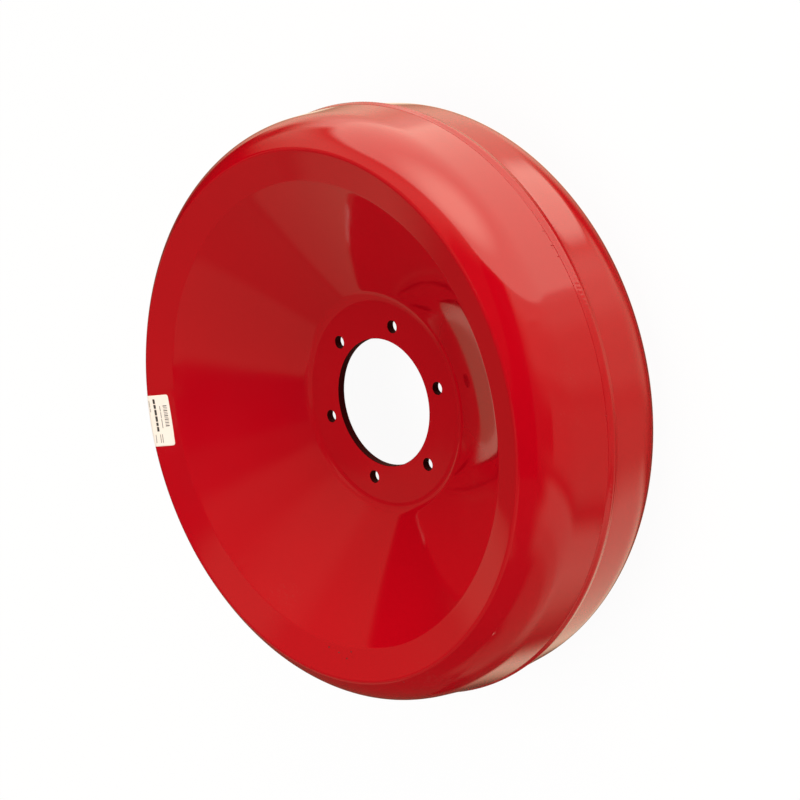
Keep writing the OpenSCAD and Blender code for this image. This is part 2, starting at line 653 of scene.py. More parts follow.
@dataclass
class PressedShell:
    """One pressed and dished half of the wheel, from the bore to the tread weld."""

    side: Side
    section: SheetSection
    bolts: BoltCircle
    dents: tuple[Dent, ...] = ()
    around: int = 576
    patch_half_steps: int = 12
    patch_rows: int = 8
    patch_half_w: float = 12 * MM
    hole_rings: tuple[float, ...] = (0.06, 0.25, 0.55, 1.0)
    lip_r: float = 0.5 * MM
    seam_r: float = 0.35 * MM
    lip_steps: int = 5
    lip_margin: float = 1.4
    bend_margin: float = 0.5 * MM
    hidden_stride: int = 4
    span: float = 6 * MM
    wave_turns: tuple[int, ...] = (2, 3, 5, 8, 13)
    wave_length: float = 350 * MM
    wave_height: float = 0.12 * MM
    wave_fades: Point = (60 * MM, 12 * MM)
    wave_seed: int = 3

    @cached_property
    def azimuths(self) -> np.ndarray:
        """Azimuths of the mesh's columns."""
        return np.arange(self.around) * 2 * math.pi / self.around

    def build(self, name: str) -> Object:
        """Build the shell's closed mesh.

        Args:
            name: The piece's name.

        Returns:
            The shell's object.
        """
        s = self.section
        inner_r, outer_r = self.bolts.pitch_r - self.patch_half_w, self.bolts.pitch_r + self.patch_half_w
        visible, hidden = s.face(0), s.face(s.sheet)
        bore = [(inner_r, 0.0), *self._wall(s.bore_r), (s.bore_r + self.lip_margin * self.lip_r, s.sheet),
                (inner_r, s.sheet)]
        flat_hub = [(outer_r, s.sheet), (visible[0][0] - self.bend_margin, s.sheet)]
        outer = along(flat_hub + visible, self.span)
        inner = [(outer_r, 0.0), *hidden[:-1:self.hidden_stride], hidden[-1]]
        skin = Skin()
        skin.grid(turned(bore, self.azimuths), wrap=True)
        skin.grid(self._waved(turned(outer, self.azimuths)), wrap=True)
        skin.grid(turned(inner, self.azimuths), wrap=True)
        skin.grid(turned([outer[-1], inner[-1]], self.azimuths), wrap=True)
        self._hub_ring(skin, inner_r, outer_r)
        for points in skin.points:
            points[:, 2] *= self.side.value
        return skin.finish(name)

    def _wall(self, radius: float) -> list[Point]:
        """Draw the section of a hole's wall, rounded at the seam and at the outer face.

        Args:
            radius: Radius of the hole.

        Returns:
            Points as (radius, height), from the seam out.
        """
        seam = lip((radius, 0.0), (1, 0), (0, 1), self.seam_r, self.lip_steps)
        return seam + lip((radius, self.section.sheet), (0, -1), (1, 0), self.lip_r, self.lip_steps)

    def _hub_ring(self, skin: Skin, inner_r: float, outer_r: float) -> None:
        """Add the flat ring that holds the bolt holes, on both faces, and the holes' walls.

        Args:
            skin: The shell's mesh so far.
            inner_r: Inner radius of the ring.
            outer_r: Outer radius of the ring.
        """
        spacing = self.around // self.bolts.count
        radii = np.linspace(inner_r, outer_r, self.patch_rows + 1)
        step = 2 * math.pi / self.around
        for middle in range(0, self.around, spacing):
            first, last = middle - self.patch_half_steps, middle + self.patch_half_steps
            for height in (0.0, self.section.sheet):
                plain = turned([(r, height) for r in radii], np.arange(last, first + spacing + 1) * step)
                skin.grid(plain, wrap=False)
            self._hole(skin, middle * step, np.arange(first, last + 1) * step, radii)

    def _hole(self, skin: Skin, azimuth: float, patch: np.ndarray, radii: np.ndarray) -> None:
        """Add one bolt hole: its wall, its rounded rims and the patch of sheet round it.

        Args:
            skin: The shell's mesh so far.
            azimuth: Azimuth of the hole, in radians.
            patch: Azimuths of the patch's columns.
            radii: Radii of the patch's rows.
        """
        border = [(radii[0], a) for a in patch[:-1]] + [(r, patch[-1]) for r in radii[:-1]]
        border += [(radii[-1], a) for a in patch[:0:-1]] + [(r, patch[0]) for r in radii[:0:-1]]
        edge = np.array([(r * math.cos(a), r * math.sin(a)) for r, a in border])
        centre = self.bolts.pitch_r * np.array([math.cos(azimuth), math.sin(azimuth)])
        rays = (edge - centre) / np.linalg.norm(edge - centre, axis=1)[:, None]
        wall = self._wall(self.bolts.hole_r)
        rings = [(centre + r * rays, z) for r, z in wall]
        under, top = rings[0], rings[-1]
        for share in self.hole_rings:
            rings.insert(0, (under[0] * (1 - share) + edge * share, under[1]))
            rings.append((top[0] * (1 - share) + edge * share, top[1]))
        rows = [np.column_stack([flat, np.full(len(flat), z)]) for flat, z in rings]
        skin.grid(np.array(rows), wrap=True)

    def _waved(self, rows: np.ndarray) -> np.ndarray:
        """Press slow waves and the dents into the outer face.

        Args:
            rows: The outer face's points, from the hub to the weld.

        Returns:
            The same points, moved along the section's normals.
        """
        radius = np.linalg.norm(rows[:, :1, :2], axis=2)
        section = np.column_stack([radius[:, 0], rows[:, 0, 2]])
        slope = np.gradient(section, axis=0)
        slope /= np.linalg.norm(slope, axis=1)[:, None]
        path = path_lengths(section)[:, None]
        a = self.azimuths[None, :]
        rng = np.random.default_rng(self.wave_seed)
        lift = np.zeros(rows.shape[:2])
        for turns in self.wave_turns:
            phase, roll = rng.uniform(0, 2 * math.pi, 2)
            angle = turns * a + 2 * math.pi * path / self.wave_length
            lift += np.cos(angle + phase + roll) / math.sqrt(turns)
        hub_fade, weld_fade = self.wave_fades
        fade = np.clip(path / hub_fade, 0, 1) * np.clip((path[-1] - path) / weld_fade, 0, 1)
        lift *= self.wave_height * fade
        for dent in self.dents:
            off = (np.degrees(a) - dent.azimuth + 180) % 360 - 180
            across = np.radians(off) * radius / (dent.length * MM)
            up = (radius - dent.radius * MM) / (dent.width * MM)
            lift += dent.height * MM * np.exp(-across**2 - up**2)
        out_r, out_z = -slope[:, 1:], slope[:, :1]
        return rows + np.stack([lift * out_r * np.cos(a), lift * out_r * np.sin(a), lift * out_z], axis=-1)


# ------------------------------------------------------------ geometry helpers


def new_tree(name: str, floats: Sequence[str], whole: Sequence[str] = ()) -> Tree:
    """Make an empty Geometry Nodes tree with named inputs.

    Args:
        name: The tree's name.
        floats: Names of its number inputs.
        whole: Names of its whole-number inputs.

    Returns:
        The tree, which also takes a geometry and a finish.
    """
    tree = bpy.data.node_groups.new(name, "GeometryNodeTree")
    kinds = {"Geometry": "Geometry", "Finish": "Material"}
    kinds |= {label: "Float" for label in floats} | {label: "Int" for label in whole}
    for label, kind in kinds.items():
        tree.interface.new_socket(label, in_out="INPUT", socket_type=f"NodeSocket{kind}")
    tree.interface.new_socket("Geometry", in_out="OUTPUT", socket_type="NodeSocketGeometry")
    return tree


def close_tree(tree: Tree, shape: Socket, finish: Socket) -> None:
    """End a tree in Realize Instances and Set Material.

    Args:
        tree: The tree.
        shape: The geometry so far.
        finish: The material's socket.
    """
    solid = add_node(tree, "GeometryNodeRealizeInstances", {"Geometry": shape})
    dressed = add_node(tree, "GeometryNodeSetMaterial", {"Geometry": solid, "Material": finish})
    add_node(tree, "NodeGroupOutput", {"Geometry": dressed})


def apply_nodes(piece: Object, tree: Tree, values: dict[str, object]) -> Object:
    """Run a Geometry Nodes tree on a piece and keep the result as its plain mesh.

    Args:
        piece: The object that the tree works on.
        tree: The tree.
        values: Input name to its value.

    Returns:
        The same object with its new mesh and no modifier.
    """
    modifier = piece.modifiers.new(tree.name, "NODES")
    modifier.node_group = tree
    names = {s.name: s.identifier for s in tree.interface.items_tree if s.in_out == "INPUT"}
    for name, value in values.items():
        modifier[names[name]] = value
    bpy.context.view_layer.update()
    evaluated = piece.evaluated_get(bpy.context.evaluated_depsgraph_get())
    mesh = bpy.data.meshes.new_from_object(evaluated)
    piece.modifiers.remove(modifier)
    piece.data = mesh
    mesh.name = piece.name
    return piece


# ------------------------------------------------------------------ tread weld


@dataclass
class TreadWeld:
    """The weld bead that joins the two shells, painted over."""

    section: SheetSection
    width: float = 16 * MM
    crown: float = WELD_CROWN
    toe: float = 0.2 * MM
    root: float = 1.2 * MM
    around: int = 1400
    across: int = 24
    ripple_pitch: float = 5.5 * MM
    ripple_height: float = 0.10 * MM
    ripple_fade: Point = (0.05, 0.6)
    uneven_size: float = 28 * MM
    wander: float = 0.35 * MM
    wander_size: float = 45 * MM

    def bead(self, name: str, material: Material) -> Object:
        """Build the rippled bead.

        Args:
            name: The piece's name.
            material: Its finish.

        Returns:
            The bead's object, with its ripples applied.
        """
        half, tread_r = self.width / 2, self.section.tread_r
        cap = [
            (tread_r(h) + self.toe + (self.crown - self.toe) * (1 + math.cos(math.pi * h / half)) / 2, h)
            for h in np.linspace(half, -half, self.across + 1)
        ]
        root = [(tread_r(h) - self.root, h) for h in (-half, half)]
        skin = Skin()
        azimuths = np.arange(self.around) * 2 * math.pi / self.around
        skin.grid(turned(cap + root + cap[:1], azimuths), wrap=True)
        return apply_nodes(skin.finish(name), self._ripple_tree(), {
            "Pitch": self.ripple_pitch, "Height": self.ripple_height, "Wander": self.wander,
            "Radius": self.section.wheel_r, "Half width": half, "Finish": material,
        })

    def _ripple_tree(self) -> Tree:
        """Build the tree that rolls ripples and a little wander into the bead.

        Returns:
            The Geometry Nodes tree.
        """
        tree = new_tree("weld_ripples", ("Pitch", "Height", "Wander", "Radius", "Half width"))
        given = add_node(tree, "NodeGroupInput").node.outputs
        place = add_node(tree, "GeometryNodeInputPosition")
        x, y, z = add_node(tree, "ShaderNodeSeparateXYZ", {0: place}).node.outputs
        azimuth = add_node(tree, MATH, {0: y, 1: x}, operation="ARCTAN2")
        arc = add_node(tree, MATH, {0: azimuth, 1: given["Radius"]}, operation="MULTIPLY")
        ripples = add_node(tree, MATH, {0: arc, 1: given["Pitch"]}, operation="DIVIDE")
        side = add_node(tree, MATH, {0: z, 1: given["Half width"]}, operation="DIVIDE")
        bow = add_node(tree, MATH, {0: side, 1: side}, operation="MULTIPLY")
        uneven, drift = (
            add_node(tree, NOISE, {"Vector": place, "Scale": 1 / size, "Detail": detail})
            for size, detail in ((self.uneven_size, 2.0), (self.wander_size, 3.0))
        )
        phase = add_node(tree, MATH, {0: ripples, 1: bow}, operation="SUBTRACT")
        phase = add_node(tree, MATH, {0: phase, 1: uneven}, operation="ADD")
        phase = add_node(tree, MATH, {0: phase, 1: 2 * math.pi}, operation="MULTIPLY")
        wave = add_node(tree, MATH, {0: phase}, operation="SINE")
        drift = add_node(tree, MATH, {0: drift, 1: 0.5}, operation="SUBTRACT")
        lift: Socket | float = 0.0
        for shape, size in ((wave, given["Height"]), (drift, given["Wander"])):
            lift = add_node(tree, MATH, {0: shape, 1: size, 2: lift}, operation="MULTIPLY_ADD")
        fade = add_node(tree, MAP_RANGE, {
            "Value": bow, "From Min": self.ripple_fade[0], "From Max": self.ripple_fade[1],
            "To Min": 1.0, "To Max": 0.0,
        }, **SMOOTH)
        lift = add_node(tree, MATH, {0: lift, 1: fade}, operation="MULTIPLY")
        flat = add_node(tree, "ShaderNodeCombineXYZ", {0: x, 1: y})
        outward = add_node(tree, VECTOR_MATH, {0: flat}, operation="NORMALIZE")
        offset = add_node(tree, VECTOR_MATH, {0: outward, "Scale": lift}, operation="SCALE")
        moved = add_node(tree, "GeometryNodeSetPosition", {"Geometry": given["Geometry"], "Offset": offset})
        close_tree(tree, moved, given["Finish"])
        return tree


@dataclass(frozen=True)
class SpatterPatch:
    """A stretch of the tread where weld spatter stuck and was painted over.

    Azimuth and spread are in degrees, and heights in millimetres.
    """

    name: str
    azimuth: float
    spread: float
    height: float
    height_spread: float
    count: int
    seed: int


@dataclass
class WeldSpatter:
    """Beads of spatter beside the weld, scattered by Geometry Nodes."""

    section: SheetSection
    smallest: float = 0.35 * MM
    largest: float = 1.1 * MM
    size_power: float = 3.0
    flatness: float = 0.55
    subdivisions: int = 3
    seed_step: float = 17.0

    def patch(self, spec: SpatterPatch, material: Material) -> Object:
        """Scatter one patch of spatter.

        Args:
            spec: Where the patch lies and how many beads it has.
            material: The beads' finish.

        Returns:
            The patch as one plain mesh.
        """
        piece = bpy.data.objects.new(spec.name, bpy.data.meshes.new(spec.name))
        bpy.context.scene.collection.objects.link(piece)
        piece = apply_nodes(piece, self._tree(), {
            "Count": spec.count, "Seed": spec.seed,
            "Azimuth": math.radians(spec.azimuth), "Spread": math.radians(spec.spread),
            "Height": spec.height * MM, "Height spread": spec.height_spread * MM,
            "Radius": self.section.wheel_r, "Taper": math.tan(self.section.taper),
            "Smallest": self.smallest, "Largest": self.largest, "Flatness": self.flatness,
            "Finish": material,
        })
        log.info("%s: %d faces", spec.name, len(piece.data.polygons))
        return piece

    def _tree(self) -> Tree:
        """Build the tree that places flattened beads at random on the tread's taper.

        Returns:
            The Geometry Nodes tree.
        """
        floats = ("Azimuth", "Spread", "Height", "Height spread", "Radius", "Taper",
                  "Smallest", "Largest", "Flatness")
        tree = new_tree("weld_spatter", floats, whole=("Count", "Seed"))
        given = add_node(tree, "NodeGroupInput").node.outputs
        spots = add_node(tree, "GeometryNodeMeshLine", {"Count": given["Count"]})
        draws = []
        for number, lowest in enumerate((-1.0, -1.0, -1.0, 0.0)):
            seed = add_node(tree, MATH, {0: given["Seed"], 1: self.seed_step * number}, operation="ADD")
            draws.append(add_node(tree, "FunctionNodeRandomValue", {2: lowest, 3: 1.0, "Seed": seed}, 1))
        around, around_more, up, size = draws
        around = add_node(tree, MATH, {0: around, 1: around_more}, operation="MULTIPLY")
        azimuth, height = (
            add_node(tree, MATH, {0: draw, 1: given[spread], 2: given[middle]}, operation="MULTIPLY_ADD")
            for draw, spread, middle in ((around, "Spread", "Azimuth"), (up, "Height spread", "Height"))
        )
        drop = add_node(tree, MATH, {0: height}, operation="ABSOLUTE")
        drop = add_node(tree, MATH, {0: drop, 1: given["Taper"]}, operation="MULTIPLY")
        radius = add_node(tree, MATH, {0: given["Radius"], 1: drop}, operation="SUBTRACT")
        x, y = (
            add_node(tree, MATH, {0: radius, 1: add_node(tree, MATH, {0: azimuth}, operation=share)},
                     operation="MULTIPLY")
            for share in ("COSINE", "SINE")
        )
        place = add_node(tree, "ShaderNodeCombineXYZ", {0: x, 1: y, 2: height})
        placed = add_node(tree, "GeometryNodeSetPosition", {"Geometry": spots, "Position": place})
        size = add_node(tree, MATH, {0: size, 1: self.size_power}, operation="POWER")
        size = add_node(tree, MAP_RANGE, {
            "Value": size, "To Min": given["Smallest"], "To Max": given["Largest"],
        })
        thick = add_node(tree, MATH, {0: size, 1: given["Flatness"]}, operation="MULTIPLY")
        scale = add_node(tree, "ShaderNodeCombineXYZ", {0: thick, 1: size, 2: size})
        turn = add_node(tree, "ShaderNodeCombineXYZ", {2: azimuth})
        bead = add_node(tree, "GeometryNodeMeshIcoSphere", {
            "Radius": 1.0, "Subdivisions": self.subdivisions,
        })
        beads = add_node(tree, "GeometryNodeInstanceOnPoints", {
            "Points": placed, "Instance": bead, "Rotation": turn, "Scale": scale,
        })
        solid = add_node(tree, "GeometryNodeRealizeInstances", {"Geometry": beads})
        smooth = add_node(tree, "GeometryNodeSetShadeSmooth", {"Geometry": solid})
        close_tree(tree, smooth, given["Finish"])
        return tree


# ----------------------------------------------------------------------- label


@dataclass(frozen=True)
class Bar:
    """A plain printed bar on the label, in millimetres in the label's own flat frame.

    Distances run from the label's inner edge and from its middle line.
    """

    start: float
    end: float
    low: float
    high: float


class Ink(Enum):
    """The two strengths of the label's print."""

    DARK = "#2b2826"
    GREY = "#8f8984"


@dataclass
class RimLabel:
    """The paper label stuck over the ring and the crest, printed with plain bars."""

    section: SheetSection
    azimuth: float = math.radians(170.7)
    width: float = 67 * MM
    inset: float = 8 * MM
    length: float = 62 * MM
    thickness: float = 0.2 * MM
    corner_r: float = 3.5 * MM
    corner_steps: int = 8
    print_lift: float = 0.03 * MM
    bar_step: Point = (1.0, 2.0)
    rows: int = 64
    columns: int = 40
    weld_gap: float = 0.0005 * MM

    @cached_property
    def path(self) -> tuple[np.ndarray, np.ndarray, np.ndarray]:
        """Follow the outer face from the crease to the end of the shoulder.

        Returns:
            Length along it at each station, the stations' points and their normals.
        """
        bends = self.section.bends
        stations = [bends["crease"][-1]] + bends["crest"] + bends["shoulder"]
        points, normals = (np.array([station[i] for station in stations]) for i in (0, 1))
        return path_lengths(points), points, normals

    def on_rim(self, out: np.ndarray, across: np.ndarray, lift: float) -> np.ndarray:
        """Wrap flat label coordinates onto the rim.

        Args:
            out: Distance from the label's inner edge.
            across: Distance from its middle line.
            lift: Height over the paint.

        Returns:
            Points in the wheel's frame.
        """
        lengths, points, normals = self.path
        start_r = np.hypot(self.section.crease[0] + self.inset, across)
        along_rim = np.interp(start_r, points[:, 0], lengths) + out
        r, z = (np.interp(along_rim, lengths, points[:, i]) for i in (0, 1))
        nr, nz = (np.interp(along_rim, lengths, normals[:, i]) for i in (0, 1))
        turn = self.azimuth + np.arcsin(across / r)
        r, z = r + lift * nr, z + lift * nz
        return np.stack([r * np.cos(turn), r * np.sin(turn), z], axis=-1)

    def _slab(self, skin: Skin, out: np.ndarray, across: np.ndarray, low: float, high: float) -> None:
        """Add a closed slab between two heights over the paint.

        Args:
            skin: The mesh so far.
            out: Distance of each point from the label's inner edge.
            across: Distance of each point from the label's middle line.
            low: Height of the slab's underside.
            high: Height of its top.
        """
        sheets = [self.on_rim(out, across, lift) for lift in (high, low)]
        for sheet in sheets:
            skin.grid(sheet, wrap=False)
        edges = [np.concatenate([g[0], g[1:, -1], g[-1, -2::-1], g[-2:0:-1, 0]]) for g in sheets]
        skin.grid(np.stack(edges), wrap=True)

    def paper(self, name: str) -> Object:
        """Build the label's closed sheet, with rounded corners.

        Args:
            name: The piece's name.

        Returns:
            The label's object.
        """
        out = np.linspace(0, self.length, self.rows)
        straight = out[(out > self.corner_r) & (out < self.length - self.corner_r)]
        ends = self.corner_r * (1 - np.cos(np.linspace(0, math.pi, self.corner_steps + 1))) / 2
        out = np.unique(np.concatenate([straight, ends, self.length - ends]))
        cut = np.clip(self.corner_r - np.minimum(out, self.length - out), 0, None)
        half = self.width / 2 - self.corner_r + np.sqrt(np.clip(self.corner_r**2 - cut**2, 0, None))
        across = half[:, None] * np.linspace(-1, 1, self.columns)
        skin = Skin()
        self._slab(skin, np.repeat(out[:, None], self.columns, axis=1), across, 0.0, self.thickness)
        return skin.finish(name, self.weld_gap)

    def print_bars(self, name: str, bars: Iterable[Bar]) -> Object:
        """Lay printed bars on the paper.

        Args:
            name: The piece's name.
            bars: The bars.

        Returns:
            One object with all of them.
        """
        skin = Skin()
        heights = (self.thickness - self.print_lift, self.thickness + self.print_lift)
        for bar in bars:
            spans = ((bar.start, bar.end), (bar.low, bar.high))
            out, across = np.meshgrid(*(
                np.linspace(start * MM, end * MM, max(2, math.ceil((end - start) / step) + 1))
                for (start, end), step in zip(spans, self.bar_step)
            ), indexing="ij")
            self._slab(skin, out, across, *heights)
        return skin.finish(name, self.weld_gap)


def bar_rows() -> dict[Ink, list[Bar]]:
    """Plain bars in the label's layout, with no letters: rows, a block of stripes and two marks.

    Returns:
        The bars of each ink.
    """
    dark = [Bar(21.2, 24.6, low, high) for low, high in (
        (-28.5, -22.5), (-21.3, -16.0), (-14.8, -7.2), (-6.0, 1.0), (2.2, 6.6), (7.8, 14.0),
    )]
    low, gap = -19.5, 1.3
    for width in (1.3, 0.6, 0.6, 1.3, 0.6, 0.9, 1.3, 0.6, 1.3, 0.6, 0.9, 0.6, 1.3):
        dark.append(Bar(4.5, 10.5, low, low + width))
        low += width + gap
    grey = [Bar(14.6, 15.9, low, high) for low, high in ((-19, -12), (-11, -3), (-2, 10))]
    grey += [Bar(29.8, 31.0, low, high) for low, high in ((-27, -18), (-17, -12))]
    grey += [Bar(start, start + 1.2, 18, 29) for start in (17, 20, 27)]
    grey += [Bar(44.0, 45.2, -26, 4)]
    return {Ink.DARK: dark, Ink.GREY: grey}


# ---------------------------------------------------------------------- studio


@dataclass(frozen=True)
class RoomPatch:
    """A soft-edged patch of the studio room, seen from the wheel.

    Bearings run from the direction of the camera to the right, and elevations
    from the horizon, in degrees. Light is the patch's radiance in green, where
    1 is white. The edges are the widths of its soft sides and of its soft ends.
    """

    name: str
    bearing: Point
    elevation: Point
    light: float
    edges: Point = (10.0, 8.0)


@dataclass(frozen=True)
class FillLamp:
    """A soft lamp that brings the wheel to a plain level and gives no glint.

    The level is the share of white that it gives a face turned to it.
    """

    name: str
    direction: Corner
    level: float
    distance: float = 3.0
    size: float = 2.4


@dataclass
class Studio:
    """Camera, floor, room and lamps."""

    tilt: float = math.radians(47.3)
    roll: float = math.radians(-104.63)
    distance: float = 3.0201
    hub_offset: Point = (-0.0202, -0.0030)
    lens: float = 110.25
    sensor: float = 36.0
    floor_size: float = 60.0
    floor_colour: str = "#fafafa"
    floor_glow: float = 0.95
    aim_height: float = 4 * MM
    warm_light: str = "#ffe6bc"
    lamp_light: str = "#fff2da"
    lamp_light_range: Point = (0.2, 1.4)
    room_light: float = 0.07
    lowest_up: float = 0.01
    ceiling_light: float = 2.5
    ceiling_glow: float = 2.5
    ceiling_middle: Point = (0.35, 0.36)
    ceiling_r: float = 1.20
    ceiling_side: Corner = (0.925, -0.38, 0.0)
    ceiling_side_reach: float = -0.79
    ceiling_edge: Point = (0.05, 0.08)
    lamp_middle: Point = (-0.08, 0.60)
    lamp_edge: Point = (0.65, 0.15)
    patches: tuple[RoomPatch, ...] = (
        RoomPatch("floor_near", (20, 200), (-90, -50), 0.29, (30, 12)),
        RoomPatch("floor_near_left", (-200, -140), (-90, -62), 0.28, (25, 10)),
        RoomPatch("floor_right", (2, 160), (-62, -36), 0.56, (30, 10)),
        RoomPatch("side_low", (6, 142), (-32, 6), 0.40, (40, 10)),
        RoomPatch("side_mid", (6, 142), (-4, 26), 0.58, (20, 12)),
        RoomPatch("side_top", (8, 132), (12, 46), 0.95, (12, 14)),
        RoomPatch("side_crown", (4, 114), (27, 52), 1.8, (14, 12)),
        RoomPatch("table_right", (16, 140), (-50, -28), 0.80, (26, 7)),
        RoomPatch("table_far", (108, 176), (-38, -9), 0.88, (12, 7)),
        RoomPatch("back_wall", (140, 200), (8, 60), 0.95, (25, 26)),
        RoomPatch("back_wall_left", (-200, -148), (8, 60), 0.95, (12, 26)),
        RoomPatch("back_top", (118, 200), (36, 75), 2.0, (12, 20)),
        RoomPatch("back_top_left", (-200, -130), (36, 75), 1.9, (12, 20)),
        RoomPatch("white_behind", (166, 200), (-10, 18), 1.0, (6, 6)),
        RoomPatch("white_behind_left", (-200, -170), (-10, 18), 1.0, (6, 6)),
        RoomPatch("back_low_left", (-174, -146), (-16, 6), 0.13, (5, 4)),
        RoomPatch("shade_below", (166, 200), (-60, -28), 0.02, (10, 8)),
        RoomPatch("left_wall", (-104, -30), (0, 50), 0.22, (3, 6)),
        RoomPatch("left_wall_mid", (-82, -36), (14, 40), 0.35, (12, 8)),
        RoomPatch("left_wall_top", (-142, -6), (26, 62), 1.05, (8, 24)),
        RoomPatch("shade_behind", (-160, -101), (4, 34), 0.01, (5, 7)),
        RoomPatch("ring_wall", (-124, -66), (-6, 7), 0.20, (4, 4)),
        RoomPatch("ring_wall_near", (-81, -62), (-6, 8), 0.38, (5, 4)),
        RoomPatch("ring_wall_far", (-131, -112), (-8, 4), 0.36, (5, 4)),
        RoomPatch("strip_left", (-132, -52), (-15.7, -6), 0.07, (5, 0.6)),
        RoomPatch("floor_left", (-112, -52), (-62, -15.7), 0.19, (8, 0.6)),
        RoomPatch("floor_left_far", (-145, -106), (-58, -16), 0.32, (6, 6)),
        RoomPatch("table_left", (-66, -12), (-58, -29), 0.32, (8, 5)),
        RoomPatch("stand_shade", (-37, -8), (-32, -6), 0.01, (5, 5)),
        RoomPatch("camera_flag", (-12, 11.5), (-34, 32), 0.01, (1.5, 2)),
        RoomPatch("flag_skirt", (10, 40), (-30, 0), 0.09, (3, 12)),
    )
    lamps: tuple[FillLamp, ...] = (
        FillLamp("top_fill", (0.0, 0.0, 1.0), 0.68),
        FillLamp("right_fill", (1.0, 0.1, 0.25), 0.42),
        FillLamp("left_fill", (-1.0, -0.3, 0.45), 0.18),
        FillLamp("lower_fill", (0.3, -1.0, 0.4), 0.22),
    )

    @cached_property
    def axes(self) -> tuple[Vector, Vector, Vector]:
        """Work out how the camera is turned.

        Returns:
            The camera's right, up and back directions in the wheel's frame.
        """
        back = Vector((math.sin(self.tilt), 0, math.cos(self.tilt)))
        level_right = Vector((0, 1, 0))
        level_up = back.cross(level_right)
        right = level_right * math.cos(self.roll) + level_up * math.sin(self.roll)
        return right, back.cross(right), back

    def set_camera(self) -> None:
        """Place the camera, aimed past the hub's front face."""
        right, up, back = self.axes
        data = bpy.data.cameras.new("camera")
        data.lens = self.lens
        data.sensor_width = self.sensor
        camera = bpy.data.objects.new("camera", data)
        aim = Vector((0, 0, self.aim_height))
        place = aim + back * self.distance - right * self.hub_offset[0] - up * self.hub_offset[1]
        turn = Matrix((right, up, back)).transposed().to_4x4()
        camera.matrix_world = Matrix.Translation(place) @ turn
        bpy.context.scene.collection.objects.link(camera)
        bpy.context.scene.camera = camera

    def set_floor(self, height: float) -> None:
        """Lay the white floor, which keeps the wheel's shadow.

        Args:
            height: Height of the floor.
        """
        mesh = bpy.data.meshes.new("floor")
        half = self.floor_size / 2
        corners = [(x * half, y * half, height) for x, y in ((-1, -1), (1, -1), (1, 1), (-1, 1))]
        mesh.from_pydata(corners, [], [(0, 1, 2, 3)])
        floor = bpy.data.objects.new("floor", mesh)
        bpy.context.scene.collection.objects.link(floor)
        material, tree = new_material("matt_white_floor")
        paths = add_node(tree, "ShaderNodeLightPath").node.outputs
        seen = paths["Is Camera Ray"]
        for other in ("Is Glossy Ray", "Is Transmission Ray"):
            seen = add_node(tree, MATH, {0: seen, 1: paths[other]}, operation="MAXIMUM")
        paper = add_node(tree, "ShaderNodeBsdfDiffuse", {"Color": linear(self.floor_colour)})
        glow = add_node(tree, "ShaderNodeEmission", {"Color": WHITE, "Strength": 1.0})
        share = add_node(tree, MATH, {0: seen, 1: self.floor_glow}, operation="MULTIPLY")
        mixed = add_node(tree, "ShaderNodeMixShader", {0: share, 1: paper, 2: glow})
        add_node(tree, "ShaderNodeOutputMaterial", {"Surface": mixed})
        mesh.materials.append(material)
        floor.visible_glossy = False
        floor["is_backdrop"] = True

    def set_room(self) -> None:
        """Build the room's light as a world of soft patches round the wheel."""
        world = bpy.data.worlds.new("studio_room")
        bpy.context.scene.world = world
        world.use_nodes = True
        tree = world.node_tree
        tree.nodes.clear()
        way = add_node(tree, "ShaderNodeTexCoord", output="Generated")
        right, up, back = (
            add_node(tree, VECTOR_MATH, {0: way, 1: axis}, "Value", operation="DOT_PRODUCT")
            for axis in self.axes
        )
        bearing = add_node(tree, MATH, {0: right, 1: back}, operation="ARCTAN2")
        elevation = add_node(tree, MATH, {0: up}, operation="ARCSINE")
        bearing, elevation = (
            add_node(tree, MATH, {0: angle}, operation="DEGREES") for angle in (bearing, elevation)
        )
        light: Socket | float = self.room_light
        for patch in self.patches:
            inside: Socket | float = 1.0
            spans = ((bearing, patch.bearing, patch.edges[0]), (elevation, patch.elevation, patch.edges[1]))
            for value, (low, high), edge in spans:
                for start, end in ((low, low + edge), (high, high - edge)):
                    ramp = add_node(tree, MAP_RANGE, {
                        "Value": value, "From Min": start, "From Max": end,
                    }, **SMOOTH)
                    inside = add_node(tree, MATH, {0: inside, 1: ramp}, operation="MULTIPLY")
            light = add_node(tree, MIX, {0: inside, 2: light, 3: patch.light})
        light = self._ceiling(tree, right, up, back, light)
        seen = add_node(tree, "ShaderNodeLightPath", output="Is Camera Ray")
        lamp_share = add_node(tree, MAP_RANGE, {
            "Value": light, "From Min": self.lamp_light_range[0], "From Max": self.lamp_light_range[1],
        })
        colour = add_node(tree, MIX, {
            0: lamp_share, MIX_A: tint(self.warm_light), MIX_B: tint(self.lamp_light),
        }, **COLOURS)
        shine = add_node(tree, "ShaderNodeBackground", {
            "Color": add_node(tree, MIX, {0: seen, MIX_A: colour, MIX_B: WHITE}, **COLOURS),
            "Strength": add_node(tree, MIX, {0: seen, 2: light, 3: 1.0}),
        })
        add_node(tree, "ShaderNodeOutputWorld", {"Surface": shine})

